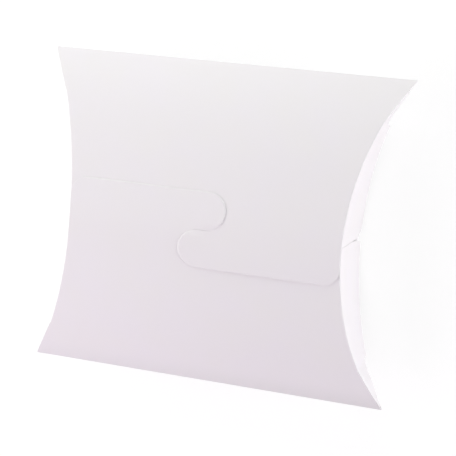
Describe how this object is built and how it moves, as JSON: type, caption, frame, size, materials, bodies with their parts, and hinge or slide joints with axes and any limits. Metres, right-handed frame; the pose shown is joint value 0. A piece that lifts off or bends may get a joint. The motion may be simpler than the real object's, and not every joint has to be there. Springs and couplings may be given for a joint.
{
  "type": "pillow box",
  "caption": "Folded board pillow box with bowed front and back, curved creases, end flaps and a hooked tongue lock across the front.",
  "frame": {"origin": "under the middle of the box, on the surface that it lies on", "axes": "+X along the long creases, +Y towards the upper long crease, +Z out of the front"},
  "size_m": [0.1986, 0.1732, 0.0526],
  "materials": {
    "white_board": "matte"
  },
  "bodies": {
    "back": {"back_panel": "white_board", "upper_crease": "white_board", "lower_crease": "white_board", "right_inner_end_flap": "white_board", "left_inner_end_flap": "white_board"},
    "upper_front": {"upper_front_panel": "white_board", "upper_lock_tongue": "white_board"},
    "lower_front": {"lower_front_panel": "white_board", "lower_lock_tongue": "white_board"},
    "upper_right_flap": {"upper_right_end_flap": "white_board"},
    "lower_right_flap": {"lower_right_end_flap": "white_board"},
    "upper_left_flap": {"upper_left_end_flap": "white_board"},
    "lower_left_flap": {"lower_left_end_flap": "white_board"}
  },
  "joints": [
    {"name": "upper_front_fold", "type": "hinge", "parent": "back", "child": "upper_front", "pos_m": [0, 0.08625, 0.02622], "axis": [-1, 0, 0], "range_deg": [0, 106], "deforming": ["upper_lock_tongue", "lower_lock_tongue"]},
    {"name": "lower_front_fold", "type": "hinge", "parent": "back", "child": "lower_front", "pos_m": [0, -0.08625, 0.02622], "axis": [1, 0, 0], "range_deg": [0, 106], "deforming": ["upper_lock_tongue", "lower_lock_tongue"]},
    {"name": "upper_right_flap_fold", "type": "hinge", "parent": "upper_front", "child": "upper_right_flap", "pos_m": [0.0745, 0, 0.0518], "axis": [0, -1, 0], "range_deg": [0, 90]},
    {"name": "lower_right_flap_fold", "type": "hinge", "parent": "lower_front", "child": "lower_right_flap", "pos_m": [0.0745, 0, 0.051], "axis": [0, -1, 0], "range_deg": [0, 90]},
    {"name": "upper_left_flap_fold", "type": "hinge", "parent": "upper_front", "child": "upper_left_flap", "pos_m": [-0.0745, 0, 0.051], "axis": [0, 1, 0], "range_deg": [0, 90]},
    {"name": "lower_left_flap_fold", "type": "hinge", "parent": "lower_front", "child": "lower_left_flap", "pos_m": [-0.0745, 0, 0.0518], "axis": [0, 1, 0], "range_deg": [0, 90]}
  ],
  "couplings": [
    {"joint": "lower_front_fold", "follows": "upper_front_fold", "ratio": 1}
  ]
}
